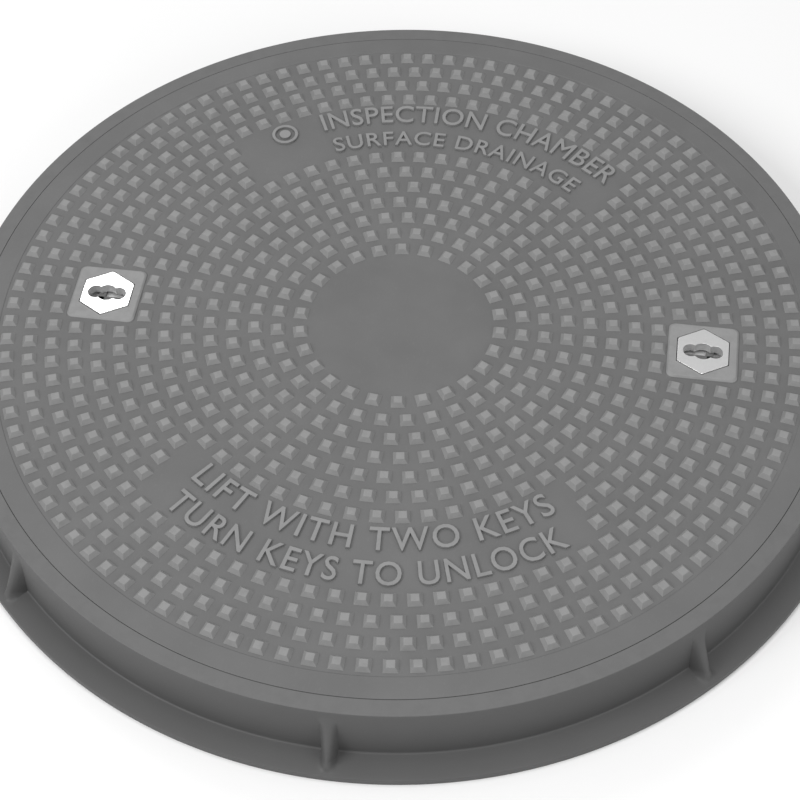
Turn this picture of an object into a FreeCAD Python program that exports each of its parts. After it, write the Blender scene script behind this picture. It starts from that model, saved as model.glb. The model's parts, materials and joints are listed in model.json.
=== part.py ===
"""Round access cover for a 600 mm clear opening, moulded in glass-filled polyester.

A frame ring stands on its bed flange. A ribbed cover sits in it on a rubber ring, flush with the
frame, and is lifted straight out. Two key points on the X axis each hold a stainless insert with
a three-lobed keyway and, below it, a quarter-turn cam that grips the underside of the ledge.

Millimetres, +Z up, origin at the middle of the bed face. The cams are drawn unlocked.
"""
import math
import os

import FreeCAD
import Part
import Sketcher

# ---------------------------------------------------------------- driving sizes
SIZES = [
    # frame
    ("clear_opening", 600, "clear way through the ledge, across"),
    ("frame_height", 57, "bed face to the flush top of frame and cover rim"),
    ("flange_dia", 730, "bed flange, across"),
    ("flange_edge", 6, "bed flange thickness at its edge"),
    ("flange_root", 8, "bed flange thickness at the wall"),
    ("flange_fillet", 5, "slope between flange and wall"),
    ("wall_thickness", 12.8, "frame wall at its top"),
    ("wall_draft", 1.5, "how much wider the wall is at its foot, per side"),
    ("ledge_top", 27, "height of the seating ledge"),
    ("ledge_thickness", 8.5, "seating ledge, top to underside"),
    ("gusset_count", 8, "outer gussets round the frame"),
    ("gusset_width", 10, "outer gusset thickness"),
    ("gusset_drop", 7, "frame top down to the head of a gusset"),
    ("gusset_inset", 4, "flange edge in to the toe of a gusset"),
    ("gusset_toe", 2, "height of a gusset's toe above the flange"),
    ("ledge_rib_count", 30, "brackets under the ledge, counted as if all round"),
    ("ledge_rib_width", 6, "bracket thickness"),
    ("ledge_rib_setback", 3, "clear opening out to a bracket"),
    # seat gasket
    ("gasket_width", 16, "rubber seating ring, inner to outer edge"),
    ("gasket_thickness", 3, "rubber seating ring, top to bottom"),
    ("gasket_setback", 8, "clear opening out to the ring"),
    ("gasket_groove", 1.5, "depth of the ring's groove in the ledge"),
    # cover plate
    ("cover_dia", 660, "cover, across"),
    ("cover_gap", 0.7, "joint between cover and frame, per side"),
    ("rim_width", 17, "plain rim round the tread"),
    ("field_drop", 0.5, "rim top down to the floor of the tread"),
    ("plate_thickness", 7, "plate under the tread"),
    ("tread_skin", 2, "upper layer of the plate, that carries the studs"),
    ("skirt_width", 14, "edge wall that stands on the gasket"),
    ("bore_clearance", 2, "deep ribs to the clear opening, per side"),
    ("rib_bottom", 22, "height of the deep ribs' lower edge"),
    ("rib_wall", 6, "thickness of ribs and rings"),
    ("rib_rise", 3, "shallow outer ribs above the seat"),
    ("ring_pitch", 55, "spacing of the rings under the plate"),
    ("ring_count", 4, "rings inside the outermost one"),
    ("hub_dia", 60, "solid hub in the middle"),
    ("deep_rib_count", 32, "ribs of the outer part"),
    ("inner_rib_count", 16, "ribs of the middle part"),
    # tread
    ("stud_rings", 14, "rings of studs"),
    ("first_ring_radius", 78, "innermost ring of studs"),
    ("stud_ring_pitch", 17.46, "spacing of the rings"),
    ("first_ring_studs", 26, "studs in the innermost ring"),
    ("studs_added", 6, "studs each ring has more than the last"),
    ("stud_base", 11.4, "stud at its foot, square"),
    ("stud_top", 6, "stud at its top, square"),
    ("stud_height", 3.5, "stud above the floor of the tread"),
    ("panel_first_ring", 8, "first ring left out for the plain panels"),
    ("panel_last_ring", 10, "last ring left out for the plain panels"),
    ("panel_half_angle", 44.5, "half the arc of a plain panel, degrees"),
    # key points
    ("lock_radius", 234, "key points from the centre"),
    ("pad_base", 55, "square pad round an insert, at its foot"),
    ("pad_top", 51, "the same at its top"),
    ("pad_height", 1.8, "pad above the floor of the tread"),
    ("pad_corner", 3.5, "radius of the pad's corners"),
    ("pad_stud_gap", 0.8, "least room between a pad and a stud"),
    ("insert_flats", 39, "hexagon head of the insert, across flats"),
    ("insert_proud", 0.3, "insert above its pad"),
    ("head_height", 12.6, "hexagon head, top to underside"),
    ("head_clearance", 0.6, "hexagon to its pocket, per side"),
    ("head_chamfer", 0.5, "bevel round the hexagon's top"),
    ("barrel_dia", 30, "threaded barrel of the insert"),
    ("barrel_clearance", 0.1, "barrel to the boss, per side"),
    ("barrel_end", 18.6, "height of the barrel's lower end"),
    ("keyway_eye", 15.5, "middle hole of the keyway, across"),
    ("keyway_lobe", 12, "end holes of the keyway, across"),
    ("keyway_offset", 9.25, "end holes from the middle"),
    ("keyway_depth", 7.8, "thickness of the plate over the hollow"),
    ("hollow_dia", 34, "hollow behind the keyway, across"),
    ("hollow_height", 3, "hollow, top to bottom"),
    ("bush_bore", 24, "bore of the barrel, below the hollow"),
    ("seal_thickness", 1.5, "rubber washer under the hexagon"),
    ("seal_width", 3.5, "rubber washer, inner to outer edge"),
    ("boss_dia", 58, "boss under the plate round an insert"),
    ("boss_bottom", 29, "height of the boss's lower face"),
    ("stop_plate_thickness", 3, "stop plate under the boss"),
    ("stop_dia", 7, "stop post under that plate"),
    ("stop_radius", 25.2, "stop posts from the spindle"),
    ("stop_bottom", 12.5, "height of a stop post's lower end"),
    ("stop_gap", 0.2, "stop post to the resting cam"),
    ("ring_nut_dia", 42, "ring nut on the barrel, across"),
    ("ring_nut_height", 5.5, "ring nut, top to bottom"),
    ("ring_nut_notch", 5, "spanner notches of the ring nut"),
    ("ring_washer_dia", 40, "washer over the ring nut, across"),
    ("ring_washer_thickness", 1.5, "washer over the ring nut"),
    ("fastener_gap", 0.1, "washers and nuts to the barrel or thread, per side"),
    # spindle and cam
    ("shaft_dia", 12, "spindle where it turns in the bush"),
    ("running_gap", 0.05, "running clearance of the spindle, per side"),
    ("bush_top", 27, "height of the bush's upper face"),
    ("bush_hole", 3, "spanner holes of the bush"),
    ("bush_hole_radius", 9, "spanner holes from the middle"),
    ("bush_hole_depth", 4, "spanner holes' depth"),
    ("wave_washer_thickness", 1.2, "spring washer under the collar"),
    ("wave_washer_dia", 23, "spring washer, across"),
    ("wave_washer_hole", 14, "spring washer's hole"),
    ("collar_drop", 2.8, "underside of the keyed plate down to the collar's top"),
    ("drive_slot_width", 3.6, "slot for the key in the collar's top"),
    ("drive_slot_length", 17, "that slot, end to end"),
    ("drive_slot_depth", 4, "that slot, top to floor"),
    ("square", 9, "square of the cam's seat, across flats"),
    ("o_ring_section", 1.9, "O-ring round the collar"),
    ("o_ring_drop", 6, "collar's top down to the O-ring"),
    ("cam_bottom", 12, "height of the cam's lower face"),
    ("cam_thickness", 6, "cam, top to bottom"),
    ("cam_gap", 0.5, "locked cam to the underside of the ledge"),
    ("cam_width", 22, "cam arm, across"),
    ("cam_hub_dia", 26, "cam round the spindle, across"),
    ("cam_overlap", 16, "how far a locked cam reaches under the ledge"),
    ("cam_seat_gap", 0.05, "cam to the spindle's square, per side"),
    ("thread_dia", 8, "spindle's lower end"),
    ("spindle_end", 2.5, "height of the spindle's lower end"),
    ("cam_washer_dia", 18, "washer under the cam, across"),
    ("cam_washer_thickness", 1.6, "washer under the cam"),
    ("cam_nut_flats", 13, "nut under the cam, across flats"),
    ("cam_nut_height", 6.5, "nut under the cam"),
]

doc = FreeCAD.newDocument("access_cover")
sheet = doc.addObject("Spreadsheet::Sheet", "dim")
for row, (alias, value, meaning) in enumerate(SIZES, start=1):
    sheet.set("A%d" % row, alias)
    sheet.set("B%d" % row, str(value))
    sheet.set("C%d" % row, meaning)
    sheet.setAlias("B%d" % row, alias)
doc.recompute()

# ---------------------------------------------------------------- places worked out from them
FRAME_BORE = "(dim.cover_dia / 2 + dim.cover_gap)"
FRAME_TOP = "(dim.cover_dia / 2 + dim.cover_gap + dim.wall_thickness)"
CLEAR = "(dim.clear_opening / 2)"
LEDGE_UNDER = "(dim.ledge_top - dim.ledge_thickness)"
GASKET_IN = "(dim.clear_opening / 2 + dim.gasket_setback)"
GASKET_OUT = "(dim.clear_opening / 2 + dim.gasket_setback + dim.gasket_width)"
GASKET_FOOT = "(dim.ledge_top - dim.gasket_groove)"
SEAT = "(dim.ledge_top - dim.gasket_groove + dim.gasket_thickness)"
COVER = "(dim.cover_dia / 2)"
FIELD = "(dim.frame_height - dim.field_drop)"
SKIN_UNDER = "(dim.frame_height - dim.field_drop - dim.tread_skin)"
FIELD_EDGE = "(dim.cover_dia / 2 - dim.rim_width)"
PLATE_UNDER = "(dim.frame_height - dim.field_drop - dim.plate_thickness)"
DEEP = "(dim.clear_opening / 2 - dim.bore_clearance)"
PAD_TOP = "(dim.frame_height - dim.field_drop + dim.pad_height)"
HEAD_TOP = "(dim.frame_height - dim.field_drop + dim.pad_height + dim.insert_proud)"
HEAD_UNDER = "(%s - dim.head_height)" % HEAD_TOP
POCKET_FLOOR = "(%s - dim.seal_thickness)" % HEAD_UNDER
HOLLOW_TOP = "(%s - dim.keyway_depth)" % HEAD_TOP
HOLLOW_FLOOR = "(%s - dim.hollow_height)" % HOLLOW_TOP
COLLAR_TOP = "(%s - dim.collar_drop)" % HOLLOW_TOP
COLLAR_FOOT = "(dim.bush_top + dim.wave_washer_thickness)"
STOP_PLATE_FOOT = "(dim.boss_bottom - dim.stop_plate_thickness)"
WASHER_FOOT = "(%s - dim.ring_washer_thickness)" % STOP_PLATE_FOOT
RING_NUT_FOOT = "(%s - dim.ring_nut_height)" % WASHER_FOOT
CAM_TOP = "(dim.cam_bottom + dim.cam_thickness)"
CAM_WASHER_FOOT = "(dim.cam_bottom - dim.cam_washer_thickness)"
CAM_NUT_FOOT = "(%s - dim.cam_nut_height)" % CAM_WASHER_FOOT
CAM_REACH = "(dim.clear_opening / 2 + dim.cam_overlap - dim.lock_radius)"
STOP_LEAN = "asin((dim.cam_width / 2 + dim.stop_dia / 2 + dim.stop_gap) / dim.stop_radius)"


def number(formula):
    """The present value of a formula of the sheet, as a plain number."""
    return float(sheet.evalExpression(formula))


def bind(feature, **formulas):
    """Tie properties to the sheet; a double underscore in a name stands for a dot."""
    for prop, formula in formulas.items():
        feature.setExpression(prop.replace("__", "."), formula)
    return feature


# ---------------------------------------------------------------- bodies with sketches
def new_body(name):
    """A PartDesign body whose label names its file."""
    body = doc.addObject("PartDesign::Body", name)
    body.Label = name
    return body


def origin_part(body, role):
    """One of the body's own origin planes or axes."""
    return [part for part in body.Origin.OriginFeatures if part.Role == role][0]


def add_sketch(body, name, role, outlines, level="0"):
    """A sketch on an origin plane of its body, raised by level.

    An outline is a list of (x, y) formulas for straight sides, or (x, y, radius) for a circle.
    """
    sketch = body.newObject("Sketcher::SketchObject", name)
    sketch.AttachmentSupport = [(origin_part(body, role), "")]
    sketch.MapMode = "FlatFace"
    bind(sketch, AttachmentOffset__Base__z=level)
    for outline in outlines:
        if isinstance(outline, tuple):
            add_circle(sketch, *outline)
        else:
            add_polygon(sketch, outline)
    return sketch


def hold_point(sketch, geometry, corner, x, y):
    """Fix one point of a sketch at the formulas x and y."""
    for axis, formula, kind in ((-2, x, "DistanceX"), (-1, y, "DistanceY")):
        if formula == "0":
            sketch.addConstraint(Sketcher.Constraint("PointOnObject", geometry, corner, axis))
            continue
        place = number(formula)
        index = sketch.addConstraint(Sketcher.Constraint(kind, -1, 1, geometry, corner, place))
        sketch.setExpression("Constraints[%d]" % index, formula)


def add_circle(sketch, x, y, radius):
    centre = FreeCAD.Vector(number(x), number(y), 0)
    normal = FreeCAD.Vector(0, 0, 1)
    circle = sketch.addGeometry(Part.Circle(centre, normal, number(radius)))
    if x == "0" and y == "0":
        sketch.addConstraint(Sketcher.Constraint("Coincident", circle, 3, -1, 1))
    else:
        hold_point(sketch, circle, 3, x, y)
    index = sketch.addConstraint(Sketcher.Constraint("Radius", circle, number(radius)))
    sketch.setExpression("Constraints[%d]" % index, radius)


def add_polygon(sketch, outline):
    points = [FreeCAD.Vector(number(x), number(y), 0) for x, y in outline]
    count = len(points)
    first = sketch.GeometryCount
    for i in range(count):
        sketch.addGeometry(Part.LineSegment(points[i], points[(i + 1) % count]))
    for i in range(count):
        follower = first + (i + 1) % count
        sketch.addConstraint(Sketcher.Constraint("Coincident", first + i, 2, follower, 1))
    for i, (x, y) in enumerate(outline):
        hold_point(sketch, first + i, 1, x, y)


def revolve(body, name, outlines):
    """Turn outlines of (radius, height) once round the Z axis."""
    sketch = add_sketch(body, name + "_sketch", "XZ_Plane", outlines)
    feature = body.newObject("PartDesign::Revolution", name)
    feature.Profile = sketch
    feature.ReferenceAxis = (origin_part(body, "Z_Axis"), [""])
    feature.Angle = 360
    return feature


def pad(body, name, role, outlines, length, level="0", symmetric=False):
    sketch = add_sketch(body, name + "_sketch", role, outlines, level)
    feature = body.newObject("PartDesign::Pad", name)
    feature.Profile = sketch
    if symmetric:
        feature.SideType = "Symmetric"
    bind(feature, Length=length)
    return feature


def polar_pattern(body, name, original, count, angle="360", reverse=False):
    feature = body.newObject("PartDesign::PolarPattern", name)
    feature.Originals = [original]
    feature.Axis = (origin_part(body, "Z_Axis"), [""])
    feature.Reversed = reverse
    bind(feature, Occurrences=count, Angle=angle)
    body.Tip = feature
    return feature


# ---------------------------------------------------------------- primitives and booleans
def cylinder(name, radius, foot, top, x="0", y="0"):
    """A round bar between the heights foot and top."""
    feature = doc.addObject("Part::Cylinder", name)
    return bind(feature, Radius=radius, Height="(%s) - (%s)" % (top, foot), Placement__Base__x=x,
                Placement__Base__y=y, Placement__Base__z=foot)


def block(name, x0, x1, y0, y1, foot, top):
    """A box between pairs of formulas along X, Y and Z."""
    feature = doc.addObject("Part::Box", name)
    return bind(feature, Length="(%s) - (%s)" % (x1, x0), Width="(%s) - (%s)" % (y1, y0),
                Height="(%s) - (%s)" % (top, foot), Placement__Base__x=x0, Placement__Base__y=y0,
                Placement__Base__z=foot)


def hexagon(name, flats, foot, top, turn=0):
    """A hexagon bar; at turn 0 its corners point along X."""
    feature = doc.addObject("Part::Prism", name)
    feature.Polygon = 6
    feature.Placement.Rotation = FreeCAD.Rotation(FreeCAD.Vector(0, 0, 1), turn)
    return bind(feature, Circumradius="%s / 2 / cos(30)" % flats,
                Height="(%s) - (%s)" % (top, foot), Placement__Base__z=foot)


def frustum(name, base, top, foot, height):
    """A square block that narrows upwards, in the middle of the XY plane."""
    feature = doc.addObject("Part::Wedge", name)
    for low, high, side in (("Xmin", "Xmax", base), ("Ymin", "Ymax", "0"), ("Zmin", "Zmax", base),
                            ("X2min", "X2max", top), ("Z2min", "Z2max", top)):
        if side == "0":
            bind(feature, **{low: "0", high: height})
        else:
            bind(feature, **{low: "-%s / 2" % side, high: "%s / 2" % side})
    feature.Placement.Rotation = FreeCAD.Rotation(FreeCAD.Vector(1, 0, 0), 90)
    return bind(feature, Placement__Base__z=foot)


def fuse(name, *shapes):
    feature = doc.addObject("Part::MultiFuse", name)
    feature.Shapes = list(shapes)
    return feature


def cut(name, base, *tools):
    """Take one or more tools out of base."""
    feature = doc.addObject("Part::Cut", name)
    feature.Base = base
    feature.Tool = tools[0] if len(tools) == 1 else fuse(name + "_tools", *tools)
    return feature


def common(name, *shapes):
    feature = doc.addObject("Part::MultiCommon", name)
    feature.Shapes = list(shapes)
    return feature


def ring(name, inner, outer, foot, top):
    """A flat ring or a sleeve."""
    return cut(name, cylinder(name + "_outside", outer, foot, top),
               cylinder(name + "_hole", inner, foot, top))


def finished(feature):
    """The shape of a feature, worked out once and without its table of face names."""
    feature.recompute(True)
    for item in feature.OutListRecursive + [feature]:
        item.purgeTouched()
    return Part.getShape(feature, "", noElementMap=True)


def moulded(name, *features):
    """One solid from several finished features."""
    shapes = [finished(feature) for feature in features]
    feature = doc.addObject("Part::Feature", name)
    feature.Shape = shapes[0].multiFuse(shapes[1:])
    return feature


def copies(name, original, places):
    """Copies of a finished feature, each moved out along X and then turned about Z."""
    drawn = finished(original)
    shapes = []
    for out, turn in places:
        shape = drawn.copy()
        shape.translate(FreeCAD.Vector(out, 0, 0))
        shape.rotate(FreeCAD.Vector(0, 0, 0), FreeCAD.Vector(0, 0, 1), turn)
        shapes.append(shape)
    feature = doc.addObject("Part::Feature", name)
    feature.Shape = Part.Compound(shapes)
    return feature


# ---------------------------------------------------------------- frame
nodes = []


def node(feature, name):
    """Mark a finished feature as a piece of its own, with the file name given."""
    feature.Label = name
    nodes.append(feature)
    return feature


def frame_ring():
    """Wall, seating ledge and bed flange in one turned outline, with gussets and brackets.

    The brackets under the ledge leave out the two stretches where the cams swing.
    """
    body = new_body("frame_blank")
    foot = "(%s + dim.wall_draft)" % FRAME_TOP
    revolve(body, "frame_section", [[
        (FRAME_BORE, "0"),
        ("dim.flange_dia / 2", "0"),
        ("dim.flange_dia / 2", "dim.flange_edge"),
        (foot + " + dim.flange_fillet", "dim.flange_root"),
        (foot, "dim.flange_root + dim.flange_fillet"),
        (FRAME_TOP, "dim.frame_height"),
        (FRAME_BORE, "dim.frame_height"),
        (FRAME_BORE, "dim.ledge_top"),
        (GASKET_OUT, "dim.ledge_top"),
        (GASKET_OUT, GASKET_FOOT),
        (GASKET_IN, GASKET_FOOT),
        (GASKET_IN, "dim.ledge_top"),
        (CLEAR, "dim.ledge_top"),
        (CLEAR, LEDGE_UNDER),
        (FRAME_BORE, LEDGE_UNDER),
    ]])
    inside_wall = FRAME_TOP + " - dim.wall_thickness / 2"
    toe = "dim.flange_dia / 2 - dim.gusset_inset"
    head = "dim.frame_height - dim.gusset_drop"
    gusset = pad(body, "gusset", "XZ_Plane", [[
        (inside_wall, "dim.flange_edge / 2"),
        (toe, "dim.flange_edge / 2"),
        (toe, "dim.flange_edge + dim.gusset_toe"),
        (FRAME_TOP, head),
        (inside_wall, head),
    ]], "dim.gusset_width", symmetric=True)
    polar_pattern(body, "gussets", gusset, "dim.gusset_count")

    bracket = new_body("ledge_bracket")
    inner = CLEAR + " + dim.ledge_rib_setback"
    outer = FRAME_BORE + " + dim.wall_thickness / 3"
    pad(bracket, "bracket_pad", "XZ_Plane", [[
        (inner, LEDGE_UNDER + " + dim.ledge_thickness / 3"),
        (inner, LEDGE_UNDER),
        (FRAME_BORE + " - dim.ledge_rib_width", "dim.flange_edge / 2"),
        (outer, "dim.flange_edge / 2"),
        (outer, LEDGE_UNDER + " + dim.ledge_thickness / 3"),
    ]], "dim.ledge_rib_width", symmetric=True)
    count = round(number("dim.ledge_rib_count"))
    swing = math.degrees(math.atan2(number(CAM_REACH), number("dim.lock_radius")))
    half_pitch = 180 / count
    turns = [half_pitch + 360 * i / count for i in range(count)]
    kept = [turn for turn in turns if off_lock_axis(turn) > swing * 0.8]
    brackets = copies("ledge_brackets", bracket, [(0, turn) for turn in kept])
    return node(fuse("frame_whole", body, brackets), "frame_ring")


def off_lock_axis(turn):
    """How many degrees a direction lies from the nearer half of the X axis."""
    return abs((turn + 90) % 180 - 90)


def seat_gasket():
    return node(ring("gasket", GASKET_IN + " + dim.fastener_gap", GASKET_OUT + " - dim.fastener_gap",
                     GASKET_FOOT, SEAT), "seat_gasket")


# ---------------------------------------------------------------- cover
def cover_blank():
    """Plate, rim, edge wall and rings in one turned outline, with two sets of radial ribs."""
    body = new_body("cover_blank")
    skirt_in = "(%s - dim.skirt_width)" % COVER
    revolve(body, "cover_section", [[
        ("0", SKIN_UNDER),
        (FIELD_EDGE, SKIN_UNDER),
        (FIELD_EDGE, "dim.frame_height"),
        (COVER, "dim.frame_height"),
        (COVER, SEAT),
        (skirt_in, SEAT),
        (skirt_in, PLATE_UNDER),
        (DEEP, PLATE_UNDER),
        (DEEP, "dim.rib_bottom"),
        (DEEP + " - dim.rib_wall", "dim.rib_bottom"),
        (DEEP + " - dim.rib_wall", PLATE_UNDER),
        ("dim.hub_dia / 2", PLATE_UNDER),
        ("dim.hub_dia / 2", "dim.rib_bottom"),
        ("0", "dim.rib_bottom"),
    ]])
    depth = "%s - dim.rib_bottom + dim.plate_thickness / 2" % PLATE_UNDER
    for i in range(1, round(number("dim.ring_count")) + 1):
        outer = "%s - %d * dim.ring_pitch" % (DEEP, i)
        pad(body, "ring_%d" % i, "XY_Plane",
            [("0", "0", outer), ("0", "0", outer + " - dim.rib_wall")], depth, "dim.rib_bottom")
    middle = "(%s - 3 * dim.ring_pitch - dim.rib_wall / 2)" % DEEP
    ribs = (
        ("inner", "dim.hub_dia / 2 - dim.rib_wall", middle, "dim.rib_bottom", "inner_rib_count"),
        ("deep", middle, DEEP + " - dim.rib_wall / 2", "dim.rib_bottom", "deep_rib_count"),
        ("outer", DEEP + " - dim.rib_wall / 2", skirt_in + " + dim.rib_wall / 2",
         SEAT + " + dim.rib_rise", "deep_rib_count"),
    )
    for name, start, end, bottom, count in ribs:
        rib = pad(body, name + "_rib", "XY_Plane", [[
            (start, "-dim.rib_wall / 2"),
            (end, "-dim.rib_wall / 2"),
            (end, "dim.rib_wall / 2"),
            (start, "dim.rib_wall / 2"),
        ]], "%s - %s + dim.plate_thickness / 2" % (PLATE_UNDER, bottom), bottom)
        polar_pattern(body, name + "_ribs", rib, "dim." + count)
    return body


def key_boss():
    """What the plate carries at a key point: a boss with the pad above it."""
    boss = cylinder("boss", "dim.boss_dia / 2", "dim.boss_bottom", FIELD)
    raised = frustum("pad_block", "dim.pad_base", "dim.pad_top", FIELD, "dim.pad_height")
    return fuse("key_boss", boss, rounded_pad(raised))


def rounded_pad(raised):
    """The pad with its four sloping corners rounded."""
    finished(raised)
    slanted = [i for i, edge in enumerate(raised.Shape.Edges, start=1)
               if edge.BoundBox.ZLength > 0.5 and edge.BoundBox.XLength > 0.5]
    feature = doc.addObject("Part::Fillet", "pad_rounded")
    feature.Base = raised
    radius = number("dim.pad_corner")
    feature.Edges = [(i, radius, radius) for i in slanted]
    return feature


def key_opening():
    """What is cut out at a key point: hexagon pocket, barrel hole and room for the ring nut."""
    flats = "(dim.insert_flats + 2 * dim.head_clearance)"
    head = hexagon("head_pocket", flats, POCKET_FLOOR, PAD_TOP + " + dim.pad_height", turn=90)
    barrel = cylinder("barrel_hole", "dim.barrel_dia / 2 + dim.barrel_clearance",
                      "dim.boss_bottom", HEAD_TOP)
    return fuse("key_opening", head, barrel)


def tread_studs():
    """Rings of square studs, with plain panels front and back and room for the two pads."""
    stud = frustum("stud", "dim.stud_base", "dim.stud_top", FIELD, "dim.stud_height")
    pad_centre = number("dim.lock_radius")
    keep_off = number("dim.pad_base / 2 + dim.pad_stud_gap - dim.stud_base / 2")
    places = []
    for k in range(round(number("dim.stud_rings"))):
        radius = number("dim.first_ring_radius") + k * number("dim.stud_ring_pitch")
        count = round(number("dim.first_ring_studs") + k * number("dim.studs_added"))
        in_panel = number("dim.panel_first_ring") <= k + 1 <= number("dim.panel_last_ring")
        for i in range(count):
            turn = 360 * i / count
            across = radius * abs(math.cos(math.radians(turn))) - pad_centre
            along = radius * math.sin(math.radians(turn))
            on_pad = max(abs(across), abs(along)) < keep_off + number("dim.stud_base")
            from_panel = 90 - off_lock_axis(turn)
            if on_pad or in_panel and from_panel < number("dim.panel_half_angle"):
                continue
            places.append((radius, turn))
    return copies("tread", stud, places)


def cover_plate():
    """The moulding with its key points, under a skin that carries the tread."""
    both = [(number("dim.lock_radius"), 0), (number("dim.lock_radius"), 180)]
    clearing = cylinder("boss_clearing", "dim.boss_dia / 2 + dim.rib_wall / 2",
                        "dim.rib_bottom - dim.rib_wall", "dim.boss_bottom")
    openings = copies("key_openings", key_opening(), both)
    cleared = cut("cleared_blank", cover_blank(), copies("clearings", clearing, both))
    bossed = fuse("bossed_blank", cleared, copies("key_bosses", key_boss(), both))
    opened = cut("opened_blank", bossed, openings)
    skin = cut("opened_skin", cylinder("skin", FIELD_EDGE, SKIN_UNDER, FIELD), openings)
    tread = moulded("tread_layer", skin, tread_studs())
    return node(moulded("cover_whole", opened, tread), "cover_plate")


# ---------------------------------------------------------------- key points
def place_lock(feature, side):
    """Stand a piece, made round the Z axis, at the left or right key point."""
    turn = 0 if side == "right" else 180
    feature.Placement.Rotation = FreeCAD.Rotation(FreeCAD.Vector(0, 0, 1), turn)
    bind(feature, Placement__Base__x="dim.lock_radius" if side == "right" else "-dim.lock_radius")


def lock_node(feature, name, side):
    place_lock(feature, side)
    return node(feature, "%s_%s" % (name, side))


def keyhole_insert(side):
    """Hexagon head with a keyway over a round hollow, on a threaded barrel."""
    tag = "insert_%s_" % side
    head = hexagon(tag + "head", "dim.insert_flats", HEAD_UNDER, HEAD_TOP, turn=90)
    bevel = doc.addObject("Part::Cone", tag + "bevel")
    corner = "(dim.insert_flats / 2 / cos(30))"
    bind(bevel, Radius1="%s + dim.head_height - dim.head_chamfer" % corner,
         Radius2=corner + " - dim.head_chamfer", Height="dim.head_height",
         Placement__Base__z=HEAD_UNDER)
    barrel = cylinder(tag + "barrel", "dim.barrel_dia / 2", "dim.barrel_end", HEAD_UNDER)
    solid = fuse(tag + "solid", common(tag + "bevelled", head, bevel), barrel)
    eye = cylinder(tag + "eye", "dim.keyway_eye / 2", HOLLOW_FLOOR, HEAD_TOP)
    lobes = [cylinder(tag + "lobe_%d" % i, "dim.keyway_lobe / 2", HOLLOW_FLOOR, HEAD_TOP, x)
             for i, x in enumerate(("dim.keyway_offset", "-dim.keyway_offset"), start=1)]
    hollow = cylinder(tag + "hollow", "dim.hollow_dia / 2", HOLLOW_FLOOR, HOLLOW_TOP)
    bore = cylinder(tag + "bore", "dim.bush_bore / 2", "dim.barrel_end", HOLLOW_FLOOR)
    lock_node(cut(tag + "whole", solid, eye, *lobes, hollow, bore), "keyhole_insert", side)


def insert_seal(side):
    inner = "dim.barrel_dia / 2 + dim.fastener_gap"
    lock_node(ring("seal_" + side, inner, inner + " + dim.seal_width", POCKET_FLOOR, HEAD_UNDER),
              "insert_seal", side)


def stop_plate(side):
    """Plate clamped under the boss, with a post on either side of the cam's quarter turn."""
    tag = "stop_plate_%s_" % side
    flat = ring(tag + "flat", "dim.barrel_dia / 2 + dim.fastener_gap", "dim.boss_dia / 2",
                STOP_PLATE_FOOT, "dim.boss_bottom")
    posts = [cylinder(tag + "post_%d" % i, "dim.stop_dia / 2", "dim.stop_bottom",
                      "(%s + dim.stop_plate_thickness / 2)" % STOP_PLATE_FOOT,
                      "dim.stop_radius * cos(%s)" % turn, "dim.stop_radius * sin(%s)" % turn)
             for i, turn in enumerate(("(-%s)" % STOP_LEAN, "(90 deg + %s)" % STOP_LEAN), start=1)]
    lock_node(fuse(tag + "whole", flat, *posts), "stop_plate", side)


def ring_washer(side):
    lock_node(ring("ring_washer_%s_flat" % side, "dim.barrel_dia / 2 + dim.fastener_gap",
                   "dim.ring_washer_dia / 2", WASHER_FOOT, STOP_PLATE_FOOT),
              "ring_washer", side)


def ring_nut(side):
    """Round nut with four spanner notches, hard up against its washer."""
    tag = "ring_nut_%s_" % side
    sleeve = ring(tag + "sleeve", "dim.barrel_dia / 2 + dim.fastener_gap",
                  "dim.ring_nut_dia / 2", RING_NUT_FOOT, WASHER_FOOT)
    notch = block(tag + "notch", "dim.ring_nut_dia / 2 - dim.ring_nut_notch / 2",
                  "dim.ring_nut_dia / 2 + dim.ring_nut_notch", "-dim.ring_nut_notch / 2",
                  "dim.ring_nut_notch / 2", RING_NUT_FOOT, WASHER_FOOT)
    notches = copies(tag + "notches", notch, [(0, turn) for turn in (45, 135, 225, 315)])
    lock_node(cut(tag + "whole", sleeve, notches), "ring_nut", side)


def spindle_bush(side):
    """Bush in the barrel's lower end that the spindle turns in, with two spanner holes."""
    tag = "bush_%s_" % side
    body = cylinder(tag + "body", "dim.bush_bore / 2 - dim.running_gap", "dim.barrel_end",
                    "dim.bush_top")
    hole = cylinder(tag + "hole", "dim.shaft_dia / 2 + dim.running_gap", "dim.barrel_end",
                    "dim.bush_top")
    spanner = [cylinder(tag + "spanner_%d" % i, "dim.bush_hole / 2", "dim.barrel_end",
                        "(dim.barrel_end + dim.bush_hole_depth)", x)
               for i, x in enumerate(("dim.bush_hole_radius", "-dim.bush_hole_radius"), start=1)]
    lock_node(cut(tag + "whole", body, hole, *spanner), "spindle_bush", side)


def wave_washer(side):
    lock_node(ring("wave_washer_%s_flat" % side, "dim.wave_washer_hole / 2",
                   "dim.wave_washer_dia / 2", "dim.bush_top", COLLAR_FOOT),
              "wave_washer", side)


# ---------------------------------------------------------------- spindles and cams
def squared(tag, gap, foot, top):
    """A round shaft with four flats: the cam's seat, or the hole that takes it."""
    half = "(dim.square / 2 + %s)" % gap
    round_bar = cylinder(tag + "round", "dim.shaft_dia / 2 + %s" % gap, foot, top)
    square_bar = block(tag + "square", "-" + half, half, "-" + half, half, foot, top)
    return common(tag + "flats", round_bar, square_bar)


O_RING_RADIUS = "(dim.bush_bore / 2 - dim.running_gap - dim.o_ring_section / 2)"
O_RING_MIDDLE = "(%s - dim.o_ring_drop)" % COLLAR_TOP


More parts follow.
